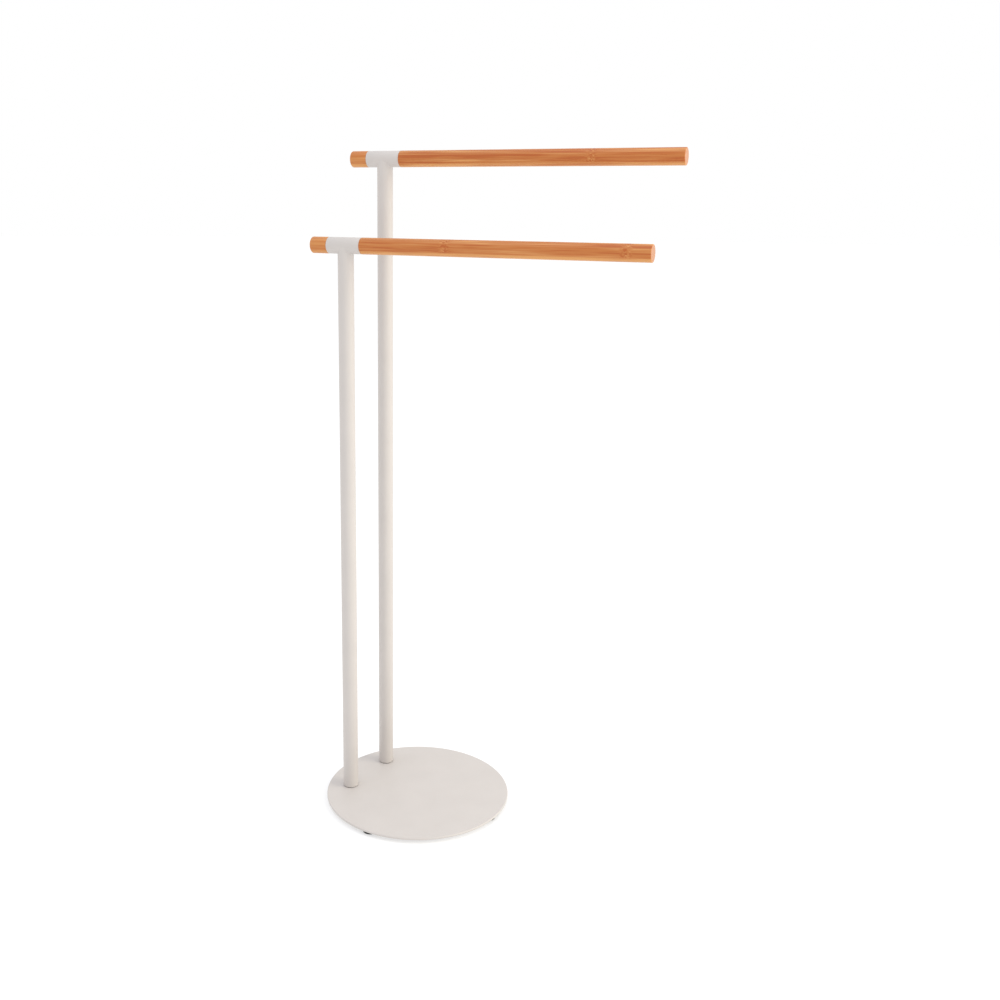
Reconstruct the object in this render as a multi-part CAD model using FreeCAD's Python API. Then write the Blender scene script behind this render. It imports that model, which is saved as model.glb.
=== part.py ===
import FreeCAD, Part
import math
import os

# Freestanding towel stand. A round steel base plate carries two steel posts, a short one in front and a
# tall one behind. Each post swivels on a screw from below and has a sleeve welded across its top, which
# holds a bamboo towel bar on one side and a short bamboo stub on the other.
# Millimetres, +Z up. At rest both bars point along +X. The origin is on the floor, in the middle of the
# stand's footprint.

# heights, from the floor to the top of each arm
tall_arm_height = 900.0
short_arm_height = 788.5

# round base plate
plate_diameter = 260.0
plate_thickness = 3.0
plate_edge_chamfer = 0.6

# four rubber pads under the plate, a quarter turn apart, their centres this far in from its edge
pad_diameter = 20.0
pad_height = 5.0
pad_inset = 13.0
first_pad_angle = -8.0

# the two posts stand on one circle, this far in from the plate's edge and turned this much each way from
# its middle angle
post_inset = 32.0
posts_middle_angle = 171.2
posts_half_spread = 26.5

# bamboo bars, flush with the sleeves that hold them
bar_diameter = 21.3
bar_reach = 380.0
stub_reach = 24.0
bar_end_chamfer = 0.8
bar_shoulder_chamfer = 0.6

# steel sleeve across the top of each post
sleeve_length = 48.0
sleeve_wall = 1.2

# steel post tube, a step narrower than the sleeve, coped to it and welded at its root gap
post_step = 0.1
post_wall = 1.2
post_foot_chamfer = 0.4
weld_root_gap = 0.05

# turned tenons that meet inside the sleeve, and the double-ended stud that draws them together
tenon_clearance = 0.1
tenon_end_gap = 1.0
stud_diameter = 6.0
stud_length = 36.0
stud_hole_clearance = 0.05
stud_hole_spare = 1.0

# threaded insert, pressed and welded into the foot of each post
insert_length = 18.0
insert_clearance = 0.05

# nylon washer on which each post turns
glide_thickness = 0.8
glide_inset = 0.8

# pivot screw and its washer, under the plate
screw_diameter = 6.0
screw_length = 20.0
thread_clearance = 0.05
pivot_clearance = 0.1
head_diameter = 10.5
head_rim_height = 1.4
head_height = 3.3
head_crown_diameter = 7.2
socket_across_flats = 4.0
socket_depth = 1.9
washer_diameter = 12.0
washer_thickness = 1.0
washer_hole_clearance = 0.2

# sizes that follow from the ones above
plate_radius = plate_diameter / 2
pad_circle_radius = plate_radius - pad_inset
post_circle_radius = plate_radius - post_inset
plate_bottom = pad_height
plate_top = plate_bottom + plate_thickness
foot_level = plate_top + glide_thickness
bar_radius = bar_diameter / 2
sleeve_radius = bar_radius
sleeve_bore = sleeve_radius - sleeve_wall
sleeve_half = sleeve_length / 2
post_radius = sleeve_radius - post_step
post_bore = post_radius - post_wall
tenon_radius = sleeve_bore - tenon_clearance
pivot_hole_radius = screw_diameter / 2 + pivot_clearance


def on_circle(radius, angle):
    turn = math.radians(angle)
    return FreeCAD.Vector(radius * math.cos(turn), radius * math.sin(turn), 0)


# post places, measured from the plate's centre
post_place = {
    "short": on_circle(post_circle_radius, posts_middle_angle + posts_half_spread),
    "tall": on_circle(post_circle_radius, posts_middle_angle - posts_half_spread),
}
arm_height = {"short": short_arm_height, "tall": tall_arm_height}

# the plate's centre, seen from the middle of the footprint
left_side = min([-plate_radius] + [p.x - sleeve_half - stub_reach for p in post_place.values()])
right_side = max([plate_radius] + [p.x + sleeve_half + bar_reach for p in post_place.values()])
plate_centre = FreeCAD.Vector(-(left_side + right_side) / 2, 0, 0)

up = FreeCAD.Vector(0, 0, 1)
along = FreeCAD.Vector(1, 0, 0)
small = 0.001


def post_cylinder(radius, low, high):
    return Part.makeCylinder(radius, high - low, FreeCAD.Vector(0, 0, low), up)


def bar_cylinder(radius, start, end):
    return Part.makeCylinder(radius, end - start, FreeCAD.Vector(start, 0, 0), along)


def rings_at(shape, axis, place):
    # the circular edges that lie in the plane where this axis has this value
    found = []
    for edge in shape.Edges:
        box = edge.BoundBox
        low, high = (box.XMin, box.XMax) if axis == "x" else (box.ZMin, box.ZMax)
        if abs(low - place) < small and abs(high - place) < small:
            found.append(edge)
    return found


def washer(radius, hole_radius, low, high):
    return post_cylinder(radius, low, high).cut(post_cylinder(hole_radius, low, high))


def base_plate():
    disc = post_cylinder(plate_radius, plate_bottom, plate_top)
    disc = disc.makeChamfer(plate_edge_chamfer, rings_at(disc, "z", plate_top))
    for place in post_place.values():
        hole = post_cylinder(pivot_hole_radius, plate_bottom, plate_top)
        hole.translate(place)
        disc = disc.cut(hole)
    return disc


def foot_pad(number):
    pad = post_cylinder(pad_diameter / 2, 0, pad_height)
    pad.translate(on_circle(pad_circle_radius, first_pad_angle + 90 * number))
    return pad


def glide_washer():
    return washer(post_radius - glide_inset, pivot_hole_radius, plate_top, foot_level)


def post_tube(axis_height):
    tube = post_cylinder(post_radius, foot_level, axis_height)
    tube = tube.makeChamfer(post_foot_chamfer, rings_at(tube, "z", foot_level))
    tube = tube.cut(post_cylinder(post_bore, foot_level, axis_height))
    cope = bar_cylinder(sleeve_radius + weld_root_gap, -sleeve_half, sleeve_half)
    cope.translate(up * axis_height)
    return tube.cut(cope)


def post_insert():
    top = foot_level + insert_length
    plug = post_cylinder(post_bore - insert_clearance, foot_level, top)
    return plug.cut(post_cylinder(screw_diameter / 2 + thread_clearance, foot_level, top))


def sleeve(axis_height):
    tube = bar_cylinder(sleeve_radius, -sleeve_half, sleeve_half)
    tube = tube.cut(bar_cylinder(sleeve_bore, -sleeve_half, sleeve_half))
    tube.translate(up * axis_height)
    return tube


def bamboo_bar(axis_height, reach):
    # the exposed bar, with its tenon in the sleeve's bore and the stud's hole in the tenon's end
    end = sleeve_half + reach
    bar = bar_cylinder(bar_radius, sleeve_half, end)
    bar = bar.makeChamfer(bar_end_chamfer, rings_at(bar, "x", end))
    bar = bar.makeChamfer(bar_shoulder_chamfer, rings_at(bar, "x", sleeve_half))
    bar = bar.fuse(bar_cylinder(tenon_radius, tenon_end_gap / 2, sleeve_half))
    hole_radius = stud_diameter / 2 + stud_hole_clearance
    bar = bar.cut(bar_cylinder(hole_radius, 0, stud_length / 2 + stud_hole_spare))
    bar.translate(up * axis_height)
    return bar


def bar_stub(axis_height):
    # a short bar, turned to face the other way
    stub = bamboo_bar(axis_height, stub_reach)
    stub.rotate(FreeCAD.Vector(0, 0, 0), up, 180)
    return stub


def joiner_stud(axis_height):
    stud = bar_cylinder(stud_diameter / 2, -stud_length / 2, stud_length / 2)
    stud.translate(up * axis_height)
    return stud


def pivot_screw():
    # a button head with a hexagon socket, seated on its washer under the plate
    seat = plate_bottom - washer_thickness
    low = seat - head_height
    rim = head_diameter / 2
    head = post_cylinder(rim, seat - head_rim_height, seat)
    crown = Part.makeCone(head_crown_diameter / 2, rim, head_height - head_rim_height)
    crown.translate(up * low)
    corner = socket_across_flats / 2 / math.cos(math.radians(30))
    corners = [on_circle(corner, 60 * n) + up * low for n in range(7)]
    socket = Part.Face(Part.makePolygon(corners)).extrude(up * socket_depth)
    shank = post_cylinder(screw_diameter / 2, seat, seat + screw_length)
    return head.fuse(crown).cut(socket).fuse(shank)


def pivot_washer():
    hole_radius = screw_diameter / 2 + washer_hole_clearance
    return washer(washer_diameter / 2, hole_radius, plate_bottom - washer_thickness, plate_bottom)


def save(name, shape, place):
    # place is measured from the plate's centre
    shape.translate(plate_centre + place)
    shape.exportStep(os.path.join("parts", name + ".step"))
    print(name, "valid" if shape.isValid() else "NOT VALID", len(shape.Solids), round(shape.Volume, 1))


os.makedirs("parts", exist_ok=True)
at_centre = FreeCAD.Vector(0, 0, 0)
save("base_plate", base_plate(), at_centre)
for number, side in enumerate(("right", "back", "left", "front")):
    save("foot_pad_" + side, foot_pad(number), at_centre)
for arm, place in post_place.items():
    axis_height = arm_height[arm] - sleeve_radius
    save(arm + "_glide_washer", glide_washer(), place)
    save(arm + "_pivot_screw", pivot_screw(), place)
    save(arm + "_pivot_washer", pivot_washer(), place)
    save(arm + "_post_insert", post_insert(), place)
    save(arm + "_post_tube", post_tube(axis_height), place)
    save(arm + "_sleeve", sleeve(axis_height), place)
    save(arm + "_joiner_stud", joiner_stud(axis_height), place)
    save(arm + "_towel_bar", bamboo_bar(axis_height, bar_reach), place)
    save(arm + "_bar_stub", bar_stub(axis_height), place)
    print(arm, "post", plate_centre + place, "bar axis height", axis_height)
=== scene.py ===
import math
import bpy
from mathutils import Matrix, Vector


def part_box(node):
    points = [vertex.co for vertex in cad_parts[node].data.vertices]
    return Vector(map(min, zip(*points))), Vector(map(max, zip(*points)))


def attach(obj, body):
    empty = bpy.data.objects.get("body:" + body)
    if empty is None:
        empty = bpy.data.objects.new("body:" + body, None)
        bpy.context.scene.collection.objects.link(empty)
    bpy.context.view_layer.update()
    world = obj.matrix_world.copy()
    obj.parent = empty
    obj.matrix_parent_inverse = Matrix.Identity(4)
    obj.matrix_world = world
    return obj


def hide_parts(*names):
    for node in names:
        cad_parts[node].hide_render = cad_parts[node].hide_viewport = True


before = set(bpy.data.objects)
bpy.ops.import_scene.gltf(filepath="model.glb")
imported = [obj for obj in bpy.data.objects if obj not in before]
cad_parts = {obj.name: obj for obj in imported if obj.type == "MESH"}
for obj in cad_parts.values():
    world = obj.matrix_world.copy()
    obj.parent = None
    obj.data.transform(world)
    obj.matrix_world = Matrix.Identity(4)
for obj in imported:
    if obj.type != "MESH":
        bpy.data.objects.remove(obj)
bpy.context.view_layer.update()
bpy.ops.object.select_all(action="DESELECT")
print("frame loaded,", len(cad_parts), "nodes")

mm = 0.001
square = 0.999   # a face looks along an axis when its normal does to this share


def hexColour(text):
    # an sRGB hex value, turned to the linear numbers that shaders read
    parts = [int(text[i:i + 2], 16) / 255 for i in (1, 3, 5)]
    linear = [c / 12.92 if c <= 0.04045 else ((c + 0.055) / 1.055) ** 2.4 for c in parts]
    return (*linear, 1.0)


def middleOf(node):
    low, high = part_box(node)
    return (low + high) / 2


def onlySelect(piece):
    bpy.ops.object.select_all(action="DESELECT")
    piece.select_set(True)
    bpy.context.view_layer.objects.active = piece


def addRod(name, radius, low, high, place, lying=False, sides=96, turn=0.0):
    # a round bar, upright or lying along X, from low to high on its own axis
    bpy.ops.object.select_all(action="DESELECT")
    middle = (low + high) / 2
    where = (middle, place.y, place.z) if lying else (place.x, place.y, middle)
    angles = (0, math.radians(90), 0) if lying else (0, 0, turn)
    bpy.ops.mesh.primitive_cylinder_add(vertices=sides, radius=radius, depth=high - low,
                                        location=where, rotation=angles)
    rod = bpy.context.object
    rod.name = rod.data.name = name
    bpy.ops.object.transform_apply(location=True, rotation=True, scale=True)
    return rod


def addRing(name, inner, outer, low, high, place, corner, lying=False, steps=96):
    # the cross-section of a tube or washer, corners rounded, spun round its axis
    bpy.ops.object.select_all(action="DESELECT")
    middle, out = (low + high) / 2, (inner + outer) / 2
    where = (middle, place.y, place.z + out) if lying else (place.x + out, place.y, middle)
    bpy.ops.mesh.primitive_plane_add(size=1, location=where, rotation=(math.radians(90), 0, 0))
    ring = bpy.context.object
    ring.name = ring.data.name = name
    ring.scale = (high - low, outer - inner, 1) if lying else (outer - inner, high - low, 1)
    bpy.ops.object.transform_apply(location=True, rotation=True, scale=True)
    bpy.ops.object.mode_set(mode="EDIT")
    bpy.ops.mesh.select_all(action="SELECT")
    bpy.ops.mesh.bevel(offset=corner, segments=3, affect="VERTICES")
    bpy.ops.mesh.select_all(action="SELECT")
    bpy.ops.mesh.delete(type="ONLY_FACE")
    bpy.ops.mesh.select_all(action="SELECT")
    centre = (middle, place.y, place.z) if lying else (place.x, place.y, middle)
    bpy.ops.mesh.spin(steps=steps, angle=math.radians(360), center=centre,
                      axis=(1, 0, 0) if lying else (0, 0, 1))
    tidyNormals()
    bpy.ops.object.mode_set(mode="OBJECT")
    return ring


def tidyNormals():
    bpy.ops.mesh.select_all(action="SELECT")
    bpy.ops.mesh.remove_doubles(threshold=0.000001)
    bpy.ops.mesh.normals_make_consistent(inside=False)


def pickFaces(piece, isWanted):
    # leaves the piece in edit mode with the wanted faces selected, told by their middle and normal
    onlySelect(piece)
    bpy.ops.object.mode_set(mode="EDIT")
    bpy.ops.mesh.select_mode(type="FACE")
    bpy.ops.mesh.select_all(action="DESELECT")
    bpy.ops.object.mode_set(mode="OBJECT")
    for face in piece.data.polygons:
        face.select = isWanted(face.center, face.normal)
    bpy.ops.object.mode_set(mode="EDIT")


def roundCap(piece, isCap, radius, segments, rim):
    # rounds the edge of an end face, then insets a narrow ring so that the flat shades flat
    pickFaces(piece, isCap)
    bpy.ops.mesh.bevel(offset=radius, segments=segments, affect="EDGES")
    bpy.ops.object.mode_set(mode="OBJECT")
    pickFaces(piece, isCap)
    bpy.ops.mesh.inset(thickness=rim)
    bpy.ops.object.mode_set(mode="OBJECT")


def cutWith(piece, cutter):
    onlySelect(piece)
    cut = piece.modifiers.new("cut", "BOOLEAN")
    cut.operation = "DIFFERENCE"
    cut.solver = "EXACT"
    cut.object = cutter
    bpy.ops.object.modifier_apply(modifier="cut")
    bpy.data.objects.remove(cutter)


def smoothOver(piece, degrees=35):
    onlySelect(piece)
    bpy.ops.object.shade_smooth_by_angle(angle=math.radians(degrees))


def copyOf(piece, name, move):
    # a copy with its own mesh, moved and then applied so that its object stays at the origin
    onlySelect(piece)
    bpy.ops.object.duplicate(linked=False)
    twin = bpy.context.object
    twin.name = twin.data.name = name
    bpy.ops.transform.translate(value=move)
    bpy.ops.object.transform_apply(location=True, rotation=True, scale=True)
    return twin


def dress(piece, materials, body, node=None):
    # materials, the body that carries it, and the solid that it stands for
    while len(piece.data.materials) < len(materials):
        piece.data.materials.append(None)
    for index, material in enumerate(materials):
        piece.data.materials[index] = material
    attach(piece, body)
    if node:
        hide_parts(node)


def addNode(tree, kind, settings=None, links=None):
    # settings go to an input where the node has one by that name or number, else to the node itself
    node = tree.nodes.new(kind)
    for name, value in (settings or {}).items():
        if isinstance(name, str) and name not in node.inputs:
            setattr(node, name, value)
    for name, value in (settings or {}).items():
        if isinstance(name, int) or name in node.inputs:
            node.inputs[name].default_value = value
    for name, source in (links or {}).items():
        tree.links.new(source, node.inputs[name])
    return node


def startMaterial(name, shader):
    material = bpy.data.materials.new(name)
    material.use_nodes = True
    tree = material.node_tree
    tree.nodes.clear()
    surface = addNode(tree, "ShaderNodeBsdfPrincipled", shader)
    addNode(tree, "ShaderNodeOutputMaterial", {}, {"Surface": surface.outputs["BSDF"]})
    place = addNode(tree, "ShaderNodeTexCoord")
    return material, tree, surface, place.outputs["Object"]


def between(side, ends):
    # the settings of a Map Range node's From or To side
    return {side + " Min": ends[0], side + " Max": ends[1]}


def bumpOf(look):
    return {"Strength": look[0], "Distance": look[1] * mm}


def addRamp(tree, source, stops):
    ramp = addNode(tree, "ShaderNodeValToRGB", {}, {"Fac": source})
    while len(ramp.color_ramp.elements) < len(stops):
        ramp.color_ramp.elements.new(0.5)
    for element, (at, colour) in zip(ramp.color_ramp.elements, stops):
        element.position = at
        element.color = hexColour(colour) if isinstance(colour, str) else (colour, colour, colour, 1.0)
    return ramp


# Polyester powder coat, sprayed dry and baked on steel: a soft satin skin with fine orange peel.
# Real orange peel is 1 to 2 mm from crest to crest. It is drawn at 3 mm here, so that it shows at all.
powderCoat = {
    "colour": "#CAC4C0",
    "shade": "#C7C1BD",
    "mottle": 40,
    "peel": 3.0,
    "peelBump": (0.25, 0.06),   # strength, and height in mm
    "grit": 0.5,
    "gritBump": (0.15, 0.02),
    "roughness": (0.42, 0.56),
    "ior": 1.5,
}


def makePowderCoat(name, look):
    material, tree, surface, place = startMaterial(name, {"IOR": look["ior"], "Metallic": 0.0})
    mottle = addNode(tree, "ShaderNodeTexNoise", {"Scale": 1000 / look["mottle"], "Detail": 3.0},
                     {"Vector": place})
    tone = addRamp(tree, mottle.outputs["Fac"], [(0.3, look["shade"]), (0.7, look["colour"])])
    peel = addNode(tree, "ShaderNodeTexNoise", {"Scale": 1000 / look["peel"], "Detail": 1.0},
                   {"Vector": place})
    grit = addNode(tree, "ShaderNodeTexNoise", {"Scale": 1000 / look["grit"], "Detail": 0.0},
                   {"Vector": place})
    rough = addNode(tree, "ShaderNodeMapRange", between("To", look["roughness"]),
                    {"Value": peel.outputs["Fac"]})
    wave = addNode(tree, "ShaderNodeBump", bumpOf(look["peelBump"]), {"Height": peel.outputs["Fac"]})
    grain = addNode(tree, "ShaderNodeBump", bumpOf(look["gritBump"]),
                    {"Height": grit.outputs["Fac"], "Normal": wave.outputs["Normal"]})
    tree.links.new(tone.outputs["Color"], surface.inputs["Base Color"])
    tree.links.new(rough.outputs["Result"], surface.inputs["Roughness"])
    tree.links.new(grain.outputs["Normal"], surface.inputs["Normal"])
    return material


# Carbonised bamboo, glued up from flat strips, turned round and sealed with a thin satin lacquer.
# The eye sees a tone for each strip, long amber streaks, and ruffled fibres where a cane had its joint.
# The strips' tones also hold painted light: the pale band along the bottom is partly painted floor bounce,
# and the slightly paler top is partly painted top light.
# Fibres are about 0.4 mm apart in the real bar and are drawn at 1.4 mm, so that they show.
bamboo = {
    "dark": "#B25A19",
    "middle": "#BF7130",
    "light": "#C57E41",
    "pale": "#D49553",
    "stops": (0.1, 0.4, 0.7, 1.0),   # where each tone stands between dark and pale
    # how pale each strip is, from the bottom of the bar at 0 to its top at 1: strip tones, with painted
    # light in the pale bottom band and the slightly paler top
    "stripTonesAndLight": ((0.15, 0.55), (0.18, 0.31), (0.44, 0.31), (0.47, 0.34), (0.68, 0.34), (0.73, 0.38)),
    "across": 21.3,
    "stripShift": 7.0,   # metres along the pattern for a paleness of 1, so that no two strips are alike
    "fibre": (60, 1.4),   # length and width of each kind of streak
    "flame": (110, 4.5),
    "joint": (5, 1.6),
    "detail": {"fibre": 3.0, "flame": 2.0, "joint": 2.0},
    "fibreShare": 0.6,
    "jointContrast": (1.8, -0.15),
    "jointReach": 10.0,
    "plainFrom": (0.43, 0.50),   # strips paler than this, such as the pale bottom band with its painted light, are taken as another cane and have no joint
    "swirl": 140.0,   # swerves per metre
    "sway": 3.0,
    "roughness": (0.55, 0.40),
    "ridges": (0.3, 0.05),
    "ior": 1.5,
}


def makeBamboo(name, look, origin, tilt, seed, span, joints):
    # span is the stretch of the pattern that goes from dark to pale: a low one is pale, a wide one calm
    # joints are the places of the cane's joints, in mm from the sleeve's middle
    material, tree, surface, place = startMaterial(name, {"IOR": look["ior"], "Metallic": 0.0})
    # centred on the bar's own axis, then turned about it so that the glue lines lie at a slant
    centred = addNode(tree, "ShaderNodeMapping", {"Location": (-origin.x, -origin.y, -origin.z)},
                      {"Vector": place})
    turned = addNode(tree, "ShaderNodeMapping", {"Rotation": (math.radians(tilt), 0, 0)},
                     {"Vector": centred.outputs["Vector"]})
    axes = addNode(tree, "ShaderNodeSeparateXYZ", {}, {"Vector": turned.outputs["Vector"]})
    along, through = axes.outputs["X"], axes.outputs["Z"]

    # a tone for each strip, from the lowest one up, with painted light from below in the pale lowest band
    # and painted light from above in the paler top
    height = addNode(tree, "ShaderNodeMath",
                     {"operation": "MULTIPLY_ADD", 1: 1000 / look["across"], 2: 0.5}, {0: through})
    stripAndLightRamp = addRamp(tree, height.outputs[0], look["stripTonesAndLight"])
    paleness = stripAndLightRamp.outputs["Color"]

    # how near the cane's joint is: 1 at the joint, 0 from its reach on, and 0 where there is none
    gaps = []
    for joint in joints:
        gap = addNode(tree, "ShaderNodeMath", {"operation": "SUBTRACT", 1: joint * mm}, {0: along})
        size = addNode(tree, "ShaderNodeMath", {"operation": "ABSOLUTE"}, {0: gap.outputs[0]})
        gaps.append(size.outputs[0])
    while len(gaps) > 1:
        pair = {0: gaps.pop(), 1: gaps.pop()}
        gaps.append(addNode(tree, "ShaderNodeMath", {"operation": "MINIMUM"}, pair).outputs[0])
    fade = {"interpolation_type": "SMOOTHSTEP", "Value": 1.0}
    fade.update(between("From", (0.0, look["jointReach"] * mm)))
    fade.update(between("To", (1.0, 0.0)))
    near = addNode(tree, "ShaderNodeMapRange", fade, {"Value": gaps[0]} if gaps else {})
    fade = {**between("From", look["plainFrom"]), **between("To", (1.0, 0.0))}
    caned = addNode(tree, "ShaderNodeMapRange", fade, {"Value": paleness})
    reach = addNode(tree, "ShaderNodeMath", {"operation": "MULTIPLY"},
                    {0: near.outputs["Result"], 1: caned.outputs["Result"]})

    # long streaks with a pattern of their own in each strip, which swerve as they pass a joint
    swirl = addNode(tree, "ShaderNodeTexNoise", {"Scale": look["swirl"], "Detail": 1.0},
                    {"Vector": turned.outputs["Vector"]})
    sway = {**between("From", (0.3, 0.7)), **between("To", (-look["sway"] * mm, look["sway"] * mm))}
    swerve = addNode(tree, "ShaderNodeMapRange", sway, {"Value": swirl.outputs["Fac"]})
    bent = addNode(tree, "ShaderNodeMath", {"operation": "MULTIPLY_ADD"},
                   {0: swerve.outputs["Result"], 1: reach.outputs[0], 2: through})
    shift = addNode(tree, "ShaderNodeMath", {"operation": "MULTIPLY_ADD", 1: look["stripShift"]},
                    {0: paleness, 2: along})
    path = addNode(tree, "ShaderNodeCombineXYZ", {},
                   {"X": shift.outputs[0], "Y": axes.outputs["Y"], "Z": bent.outputs[0]})
    patterns = {}
    for kind, detail in look["detail"].items():
        length, width = look[kind]
        scale = (1000 / length, 1000 / width, 1000 / width)
        scaled = addNode(tree, "ShaderNodeMapping", {"Location": (seed, seed, seed), "Scale": scale},
                         {"Vector": path.outputs[0]})
        noise = addNode(tree, "ShaderNodeTexNoise", {"Scale": 1.0, "Detail": detail, "Roughness": 0.55},
                        {"Vector": scaled.outputs["Vector"]})
        patterns[kind] = noise.outputs["Fac"]
    streaks = addNode(tree, "ShaderNodeMath", {"operation": "MULTIPLY_ADD", 1: look["fibreShare"]},
                      {0: patterns["fibre"], 2: patterns["flame"]})
    gain, lift = look["jointContrast"]
    strokes = addNode(tree, "ShaderNodeMath", {"operation": "MULTIPLY_ADD", 1: gain, 2: lift},
                      {0: patterns["joint"]})
    grain = addNode(tree, "ShaderNodeMix", {},
                    {0: reach.outputs[0], 2: streaks.outputs[0], 3: strokes.outputs[0]})
    toned = addNode(tree, "ShaderNodeMath", {"operation": "ADD"}, {0: paleness, 1: grain.outputs[0]})
    spread = addNode(tree, "ShaderNodeMapRange", between("From", span), {"Value": toned.outputs[0]})
    tones = [look[tone] for tone in ("dark", "middle", "light", "pale")]
    tone = addRamp(tree, spread.outputs["Result"], list(zip(look["stops"], tones)))
    rough = addNode(tree, "ShaderNodeMapRange", between("To", look["roughness"]),
                    {"Value": patterns["fibre"]})
    ridges = addNode(tree, "ShaderNodeBump", bumpOf(look["ridges"]), {"Height": patterns["fibre"]})
    tree.links.new(tone.outputs["Color"], surface.inputs["Base Color"])
    tree.links.new(rough.outputs["Result"], surface.inputs["Roughness"])
    tree.links.new(ridges.outputs["Normal"], surface.inputs["Normal"])
    return material


# The same bamboo sawn across: pale wood peppered with the dark ends of its fibre bundles.
# Bundles are 0.5 to 1 mm apart and are drawn at 1.2 mm, so that they show.
endGrain = {
    "bundle": (0.18, "#9A6545"),   # share of the gap to the next bundle, and colour
    "pale": (0.36, "#C28F70"),
    "bundleGap": 1.2,
    "scatter": 0.8,
    "pores": (0.3, 0.05),
    "roughness": 0.62,
    "ior": 1.5,
}


def makeEndGrain(name, look):
    material, tree, surface, place = startMaterial(
        name, {"IOR": look["ior"], "Metallic": 0.0, "Roughness": look["roughness"]})
    spacing = {"Scale": 1000 / look["bundleGap"], "Randomness": look["scatter"]}
    bundles = addNode(tree, "ShaderNodeTexVoronoi", spacing, {"Vector": place})
    distance = bundles.outputs["Distance"]
    tone = addRamp(tree, distance, [look["bundle"], look["pale"]])
    pores = addNode(tree, "ShaderNodeBump", bumpOf(look["pores"]), {"Height": distance})
    tree.links.new(tone.outputs["Color"], surface.inputs["Base Color"])
    tree.links.new(pores.outputs["Normal"], surface.inputs["Normal"])
    return material


# Two moulded finishes. EPDM rubber is dull, with a faint dusty bloom.
# Polyamide is black, with a slight sheen.
rubber = {"colour": "#1B1B1B", "bloom": "#2B2A29", "spot": 2.0, "roughness": (0.75, 0.9), "ior": 1.52}
nylon = {"colour": "#191919", "bloom": "#222222", "spot": 3.0, "roughness": (0.4, 0.5), "ior": 1.53}
mouldedSkin = (0.2, 0.05)


def makeMoulded(name, look):
    material, tree, surface, place = startMaterial(name, {"IOR": look["ior"], "Metallic": 0.0})
    spots = addNode(tree, "ShaderNodeTexNoise", {"Scale": 1000 / look["spot"], "Detail": 4.0},
                    {"Vector": place})
    tone = addRamp(tree, spots.outputs["Fac"], [(0.35, look["colour"]), (0.75, look["bloom"])])
    rough = addNode(tree, "ShaderNodeMapRange", between("To", look["roughness"]),
                    {"Value": spots.outputs["Fac"]})
    skin = addNode(tree, "ShaderNodeBump", bumpOf(mouldedSkin), {"Height": spots.outputs["Fac"]})
    tree.links.new(tone.outputs["Color"], surface.inputs["Base Color"])
    tree.links.new(rough.outputs["Result"], surface.inputs["Roughness"])
    tree.links.new(skin.outputs["Normal"], surface.inputs["Normal"])
    return material


# Zinc-plated steel, cold headed or turned, then barrel plated.
# It is a grey metal with a cloudy, slightly blue sheen.
zinc = {"bright": "#C9CDD2", "cloud": "#AEB4BA", "patch": 2.5, "roughness": (0.28, 0.42)}


def makeZinc(name, look):
    material, tree, surface, place = startMaterial(name, {"Metallic": 1.0})
    clouds = addNode(tree, "ShaderNodeTexNoise", {"Scale": 1000 / look["patch"], "Detail": 5.0},
                     {"Vector": place})
    tone = addRamp(tree, clouds.outputs["Fac"], [(0.3, look["cloud"]), (0.7, look["bright"])])
    rough = addNode(tree, "ShaderNodeMapRange", between("To", look["roughness"]),
                    {"Value": clouds.outputs["Fac"]})
    tree.links.new(tone.outputs["Color"], surface.inputs["Base Color"])
    tree.links.new(rough.outputs["Result"], surface.inputs["Roughness"])
    return material


arms = ("short", "tall")
sleeveMiddle = {arm: middleOf(arm + "_sleeve") for arm in arms}
coat = makePowderCoat("powderCoat", powderCoat)
sawnBamboo = makeEndGrain("bambooEndGrain", endGrain)
blackRubber = makeMoulded("epdmRubber", rubber)
blackNylon = makeMoulded("polyamide", nylon)
zincPlate = makeZinc("zincPlate", zinc)
# how each piece was sawn from its cane: tilt of its glue lines, seed, span and joints
sawn = {
    "shortBar": (7, 11.3, (0.94, 1.37), (144, 374)),
    "tallBar": (4, 47.8, (0.97, 1.40), (288,)),
    "shortStub": (7, 23.1, (0.70, 1.37), ()),
    "tallStub": (4, 5.6, (0.70, 1.37), ()),
}
barBamboo, stubBamboo = {}, {}
for kind, made in (("Bar", barBamboo), ("Stub", stubBamboo)):
    for arm in arms:
        made[arm] = makeBamboo(arm + kind + "Bamboo", bamboo, sleeveMiddle[arm], *sawn[arm + kind])
print("materials made")


plate = {
    "topRound": 0.8,
    "bottomRound": 0.4,
    "rim": 0.5,
    "holeRadius": 3.1,
    "holeSpare": 2.0,
    "sides": 256,
}


def makePlate():
    low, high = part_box("base_plate")
    place, radius = (low + high) / 2, (high.x - low.x) / 2
    piece = addRod("basePlate", radius, low.z, high.z, place, sides=plate["sides"])
    roundCap(piece, lambda at, normal: normal.z > square, plate["topRound"] * mm, 5, plate["rim"] * mm)
    roundCap(piece, lambda at, normal: normal.z < -square, plate["bottomRound"] * mm, 3, plate["rim"] * mm)
    spare = plate["holeSpare"] * mm
    for arm in arms:
        cutter = addRod("holeCutter", plate["holeRadius"] * mm, low.z - spare, high.z + spare,
                        middleOf(arm + "_pivot_washer"), sides=48)
        cutWith(piece, cutter)
    smoothOver(piece)
    dress(piece, [coat], "base", "base_plate")


pad = {
    "round": 0.9,
    "topRound": 0.3,
    "rim": 0.4,
    "tread": 2.4,    # from the rim to the groove
    "groove": 1.2,   # width of its floor
    "depth": 0.5,
    "slope": 0.2,
    "sides": 64,
}


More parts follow.
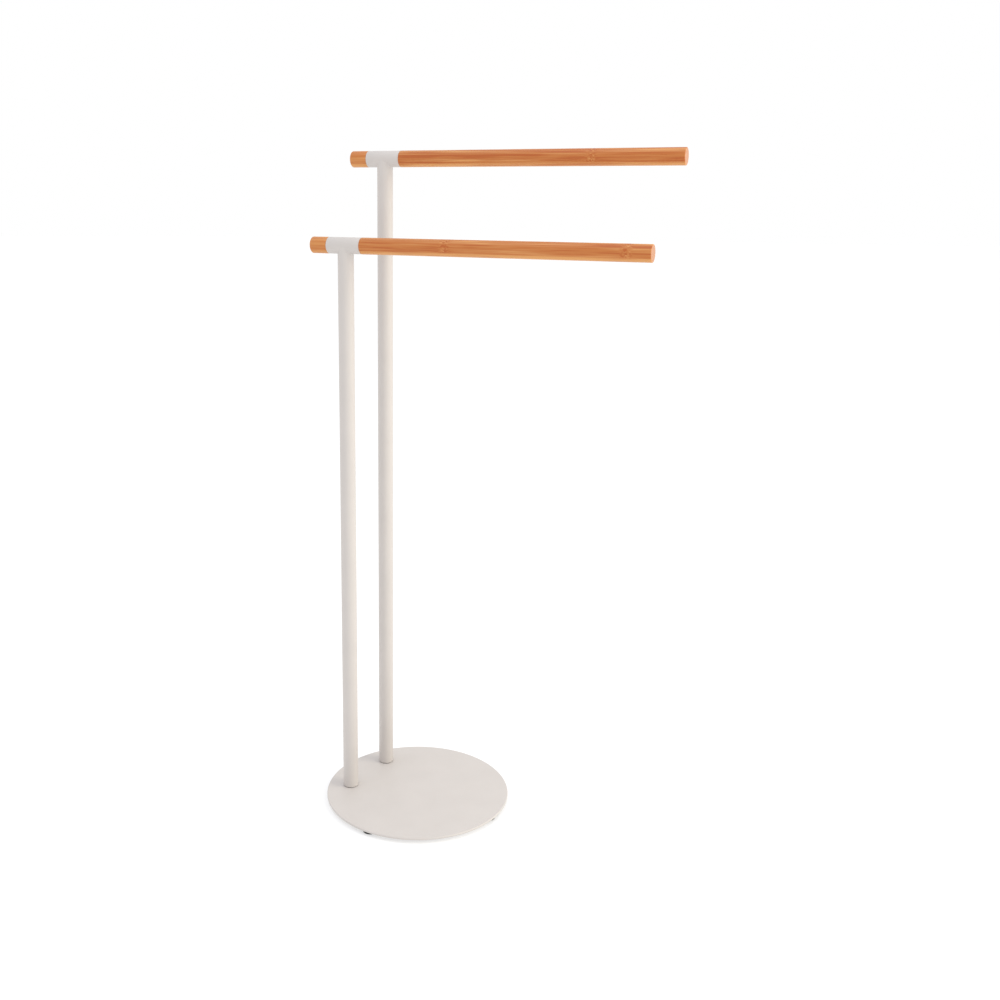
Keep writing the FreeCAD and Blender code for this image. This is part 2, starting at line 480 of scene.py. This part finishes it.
def makePads():
    sides = ("right", "back", "left", "front")
    low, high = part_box("foot_pad_right")
    place, radius = (low + high) / 2, (high.x - low.x) / 2
    first = addRod("footPadRight", radius, low.z, high.z, place, sides=pad["sides"])
    roundCap(first, lambda at, normal: normal.z > square, pad["topRound"] * mm, 2, pad["rim"] * mm)
    roundCap(first, lambda at, normal: normal.z < -square, pad["round"] * mm, 4, pad["rim"] * mm)
    # a tread, then a round groove in the underside
    isUnder = lambda at, normal: normal.z < -square and (at - place).xy.length < mm
    pickFaces(first, isUnder)
    bpy.ops.mesh.inset(thickness=pad["tread"] * mm)
    bpy.ops.mesh.inset(thickness=pad["slope"] * mm, depth=-pad["depth"] * mm)
    bpy.ops.mesh.inset(thickness=pad["groove"] * mm)
    bpy.ops.mesh.inset(thickness=pad["slope"] * mm, depth=pad["depth"] * mm)
    bpy.ops.object.mode_set(mode="OBJECT")
    smoothOver(first)
    pads = [first]
    for side in sides[1:]:
        pads.append(copyOf(first, "footPad" + side.capitalize(), middleOf("foot_pad_" + side) - place))
    for piece, side in zip(pads, sides):
        dress(piece, [blackRubber], "base", "foot_pad_" + side)


makePlate()
makePads()
print("base made")


# pieces of the arms are made on the short arm and copied to the tall one, apart from the posts

def giveBoth(piece, name, node, materials, still=False):
    # a still piece stays with the base, and a material may be given as one for each arm
    move = middleOf("tall_" + node) - middleOf("short_" + node)
    twin = copyOf(piece, "tall" + name, move)
    for arm, one in (("short", piece), ("tall", twin)):
        chosen = [m[arm] if isinstance(m, dict) else m for m in materials]
        dress(one, chosen, "base" if still else arm + "_arm", arm + "_" + node)


post = {"wall": 1.2, "footRound": 0.4, "cope": 0.05, "steps": 96}


def makePost(arm):
    low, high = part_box(arm + "_post_tube")
    place, radius = (low + high) / 2, (high.x - low.x) / 2
    saddle = sleeveMiddle[arm]
    sleeveLow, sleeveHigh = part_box(arm + "_sleeve")
    sleeveRadius = (sleeveHigh.z - sleeveLow.z) / 2
    tube = addRing(arm + "PostTube", radius - post["wall"] * mm, radius, low.z, saddle.z, place,
                   post["footRound"] * mm, steps=post["steps"])
    cutter = addRod("copeCutter", sleeveRadius + post["cope"] * mm, sleeveLow.x, sleeveHigh.x, saddle,
                    lying=True, sides=256)
    cutWith(tube, cutter)
    makeWeld(arm, place, radius, sleeveRadius)
    smoothOver(tube)
    dress(tube, [coat], arm + "_arm", arm + "_post_tube")


# the weld, ground and coated over until only a small fillet shows
weld = {"fillet": 1.5, "sunk": 0.3, "around": 96, "rows": 7}


def makeWeld(arm, place, postRadius, sleeveRadius):
    # a flat grid wrapped round the post, each row set where a ball rolled along the corner would leave it
    ball = weld["fillet"] * mm
    reach = postRadius + ball
    bpy.ops.object.select_all(action="DESELECT")
    bpy.ops.mesh.primitive_grid_add(x_subdivisions=weld["around"], y_subdivisions=weld["rows"], size=1)
    piece = bpy.context.object
    piece.name = piece.data.name = arm + "WeldFillet"
    for vertex in piece.data.vertices:
        turn = (vertex.co.x + 0.5) * math.radians(360)
        row = round((vertex.co.y + 0.5) * weld["rows"])
        out = Vector((math.cos(turn), math.sin(turn), 0))
        side = reach * out.y
        centre = Vector((reach * out.x, side, -math.sqrt((sleeveRadius + ball) ** 2 - side ** 2)))
        toSleeve = Vector((0, -centre.y, -centre.z)).normalized()
        if row in (0, weld["rows"]):
            # both ends of the section meet in one corner, sunk in the steel
            inward = (toSleeve - out).normalized()
            depth = ball / inward.dot(toSleeve) + weld["sunk"] * mm
        else:
            inward = (-out).slerp(toSleeve, (row - 1) / (weld["rows"] - 2))
            depth = ball
        vertex.co = Vector((place.x, place.y, sleeveMiddle[arm].z)) + centre + inward * depth
    onlySelect(piece)
    bpy.ops.object.mode_set(mode="EDIT")
    tidyNormals()
    bpy.ops.object.mode_set(mode="OBJECT")
    smoothOver(piece, 60)
    dress(piece, [coat], arm + "_arm", None)


sleeve = {"wall": 1.2, "round": 0.35, "steps": 96}


def makeSleeves():
    low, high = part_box("short_sleeve")
    place, radius = (low + high) / 2, (high.z - low.z) / 2
    piece = addRing("shortSleeve", radius - sleeve["wall"] * mm, radius, low.x, high.x, place,
                    sleeve["round"] * mm, lying=True, steps=sleeve["steps"])
    smoothOver(piece)
    giveBoth(piece, "Sleeve", "sleeve", [coat])


bar = {
    "endRound": 0.8,
    "shoulder": 0.6,
    "tenonRadius": 9.35,
    "tenonGap": 0.5,
    "holeRadius": 3.05,
    "holeDepth": 18.5,
    "rim": 0.5,
    "sides": 96,
}


def pushFace(distance):
    bpy.ops.mesh.extrude_region_move(TRANSFORM_OT_translate={"value": (distance, 0, 0)})


def makeBar(name, node, way, low, high):
    # way is +1 for the long bar and -1 for the stub, which points the other way from the sleeve
    place = sleeveMiddle["short"]
    boxLow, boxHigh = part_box("short_" + node)
    radius = (boxHigh.z - boxLow.z) / 2
    piece = addRod(name, radius, low, high, place, lying=True, sides=bar["sides"])
    isEnd = lambda at, normal: normal.x * way > square
    isShoulder = lambda at, normal: normal.x * way < -square
    roundCap(piece, isEnd, bar["endRound"] * mm, 6, bar["rim"] * mm)
    pickFaces(piece, isShoulder)
    bpy.ops.mesh.bevel(offset=bar["shoulder"] * mm, segments=3, affect="EDGES")
    bpy.ops.object.mode_set(mode="OBJECT")
    # the tenon that goes into the sleeve, and the stud's hole in its end
    pickFaces(piece, isShoulder)
    bpy.ops.mesh.inset(thickness=radius - (bar["shoulder"] + bar["tenonRadius"]) * mm)
    shoulderAt = low if way > 0 else high
    tenonEnd = place.x + way * bar["tenonGap"] * mm
    pushFace(tenonEnd - shoulderAt)
    bpy.ops.mesh.inset(thickness=(bar["tenonRadius"] - bar["holeRadius"]) * mm)
    pushFace(way * bar["holeDepth"] * mm)
    bpy.ops.object.mode_set(mode="OBJECT")
    # the sawn faces get the end grain, which is the piece's second material
    for material in (barBamboo["short"], sawnBamboo):
        piece.data.materials.append(material)
    pickFaces(piece, lambda at, normal: abs(normal.x) > square)
    piece.active_material_index = 1
    bpy.ops.object.material_slot_assign()
    bpy.ops.object.mode_set(mode="OBJECT")
    smoothOver(piece, 40)
    return piece


def makeBars():
    sleeveLow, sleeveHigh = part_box("short_sleeve")
    longBar = makeBar("shortTowelBar", "towel_bar", 1, sleeveHigh.x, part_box("short_towel_bar")[1].x)
    stub = makeBar("shortBarStub", "bar_stub", -1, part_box("short_bar_stub")[0].x, sleeveLow.x)
    giveBoth(longBar, "TowelBar", "towel_bar", [barBamboo, sawnBamboo])
    giveBoth(stub, "BarStub", "bar_stub", [stubBamboo, sawnBamboo])


# the glide washers lie still on the plate, and the pivot washers turn with their screws
washers = {
    "glide": {"hole": 3.1, "round": 0.2, "finish": (blackNylon, "black_nylon"), "still": True},
    "pivot": {"hole": 3.2, "round": 0.25, "finish": (zincPlate, "zinc_plated_steel"), "still": False},
}


def makeWashers():
    for kind, washer in washers.items():
        name, node = kind.capitalize() + "Washer", kind + "_washer"
        low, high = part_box("short_" + node)
        place, radius = (low + high) / 2, (high.x - low.x) / 2
        piece = addRing("short" + name, washer["hole"] * mm, radius, low.z, high.z, place,
                        washer["round"] * mm)
        smoothOver(piece)
        material, slot = washer["finish"]
        giveBoth(piece, name, node, [material], washer["still"])


# M6 x 20 button head, socket 4 mm across its flats
screw = {
    "headHeight": 3.3,
    "dome": 1.7,
    "socket": 4.0,
    "socketDepth": 1.9,
    "core": 2.45,
    "lead": 0.6,      # bevel at the tip
    "sunk": 0.2,      # how far the core starts inside the head
    "crest": 2.95,
    "ridge": 0.4,     # from the middle of the thread's section to a corner
    "start": 1.2,     # from the head to the first turn
    "pitch": 1.0,
    "turns": 17,
}


def makeScrew():
    low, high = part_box("short_pivot_screw")
    place, radius = (low + high) / 2, (high.x - low.x) / 2
    seat = low.z + screw["headHeight"] * mm
    head = addRod("shortPivotScrew", radius, low.z, seat, place, sides=64)
    roundCap(head, lambda at, normal: normal.z < -square, screw["dome"] * mm, 7, 0.2 * mm)
    corner = screw["socket"] / 2 / math.cos(math.radians(30)) * mm
    cutter = addRod("socketCutter", corner, low.z - mm, low.z + screw["socketDepth"] * mm, place,
                    sides=6, turn=math.radians(30))
    cutWith(head, cutter)
    core = addRod("screwCore", screw["core"] * mm, seat - screw["sunk"] * mm, high.z, place, sides=48)
    roundCap(core, lambda at, normal: normal.z > square, screw["lead"] * mm, 2, 0.2 * mm)
    # one turn of the thread is a three-sided ridge, wound up the core by a screw modifier
    ridge = screw["ridge"] * mm
    start = (place.x + screw["crest"] * mm - ridge, place.y, seat + screw["start"] * mm)
    bpy.ops.object.select_all(action="DESELECT")
    bpy.ops.mesh.primitive_circle_add(vertices=3, radius=ridge, fill_type="NOTHING", location=start,
                                      rotation=(math.radians(90), math.radians(90), 0))
    thread = bpy.context.object
    bpy.context.scene.cursor.location = (place.x, place.y, seat)
    bpy.ops.object.transform_apply(location=True, rotation=True, scale=True)
    bpy.ops.object.origin_set(type="ORIGIN_CURSOR")
    winding = thread.modifiers.new("winding", "SCREW")
    winding.axis = "Z"
    winding.screw_offset = screw["pitch"] * mm
    winding.iterations = screw["turns"]
    winding.steps = winding.render_steps = 32
    bpy.ops.object.modifier_apply(modifier="winding")
    bpy.ops.object.transform_apply(location=True, rotation=True, scale=True)
    bpy.ops.object.mode_set(mode="EDIT")
    bpy.ops.mesh.select_mode(type="EDGE")
    bpy.ops.mesh.select_all(action="DESELECT")
    bpy.ops.mesh.select_non_manifold()
    bpy.ops.mesh.edge_face_add()
    tidyNormals()
    bpy.ops.object.mode_set(mode="OBJECT")
    onlySelect(head)
    core.select_set(True)
    thread.select_set(True)
    bpy.ops.object.join()
    smoothOver(head, 30)
    giveBoth(head, "PivotScrew", "pivot_screw", [zincPlate])


for arm in arms:
    makePost(arm)
print("posts made")
makeSleeves()
makeBars()
print("sleeves and bars made")
makeWashers()
makeScrew()
print("swivels made")

# the solids that stay: both are inside the posts and sleeves
for arm in arms:
    for node in ("post_insert", "joiner_stud"):
        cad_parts[arm + "_" + node].data.materials.clear()
        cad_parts[arm + "_" + node].data.materials.append(zincPlate)


studio = {
    "air": ("#FFFFFF", 1.0),
    "key": ((3.0, 0.35, 1.7), 1.6, 2.4, 57, "#FFF9E5"),   # place, width, height, watts, colour
    "top": ((-0.4, -0.6, 6.0), 4.0, 4.0, 50, "#DCE6FF"),
    "aim": (0, 0, 0.45),
    "floor": ("#BABABA", "#BDBDBD"),
    "floorGlow": 0.5,
    "floorRadius": 30,
}


def makeFloor():
    bpy.ops.object.select_all(action="DESELECT")
    bpy.ops.mesh.primitive_circle_add(vertices=128, radius=studio["floorRadius"], fill_type="NGON",
                                      location=(0, 0, 0))
    floor = bpy.context.object
    floor.name = "floor"
    # a light table: pale acrylic lit from below, so that it stays white up to the horizon
    glow = {"Emission Color": (1, 1, 1, 1), "Emission Strength": studio["floorGlow"]}
    material, tree, surface, place = startMaterial("paleFloor", {"Roughness": 0.9, "IOR": 1.3, **glow})
    haze = addNode(tree, "ShaderNodeTexNoise", {"Scale": 3.0}, {"Vector": place})
    tone = addRamp(tree, haze.outputs["Fac"], [(0.3, studio["floor"][0]), (0.7, studio["floor"][1])])
    tree.links.new(tone.outputs["Color"], surface.inputs["Base Color"])
    floor.data.materials.append(material)


def addSoftBox(name, place, width, height, power, colour):
    bpy.ops.object.select_all(action="DESELECT")
    bpy.ops.object.light_add(type="AREA", location=place)
    light = bpy.context.object
    light.name = name
    light.data.shape = "RECTANGLE"
    light.data.size, light.data.size_y = width, height
    light.data.energy = power
    light.data.color = hexColour(colour)[:3]
    aim = Vector(studio["aim"]) - Vector(place)
    light.rotation_mode = "QUATERNION"
    light.rotation_quaternion = aim.to_track_quat("-Z", "Y")


makeFloor()
addSoftBox("keySoftBox", *studio["key"])
addSoftBox("topSoftBox", *studio["top"])
world = bpy.data.worlds.new("studioAir")
bpy.context.scene.world = world
world.use_nodes = True
world.node_tree.nodes["Background"].inputs["Color"].default_value = hexColour(studio["air"][0])
world.node_tree.nodes["Background"].inputs["Strength"].default_value = studio["air"][1]
bpy.context.scene.view_settings.view_transform = "Standard"

camera = {
    "place": (0.53163, -1.31884, 0.82695),
    "left": 24.32,   # degrees turned left from +Y
    "down": 13.39,
    "roll": -0.55,
    "lens": 39.99,
    "shift": (0.06, -0.028),
}

bpy.ops.object.select_all(action="DESELECT")
bpy.ops.object.camera_add(location=camera["place"],
                          rotation=(math.radians(90 - camera["down"]), math.radians(camera["roll"]),
                                    math.radians(camera["left"])))
eye = bpy.context.object
eye.data.sensor_width = 36
eye.data.lens = camera["lens"]
eye.data.shift_x, eye.data.shift_y = camera["shift"]
eye.data.clip_end = 200
bpy.context.scene.camera = eye
print("studio made")
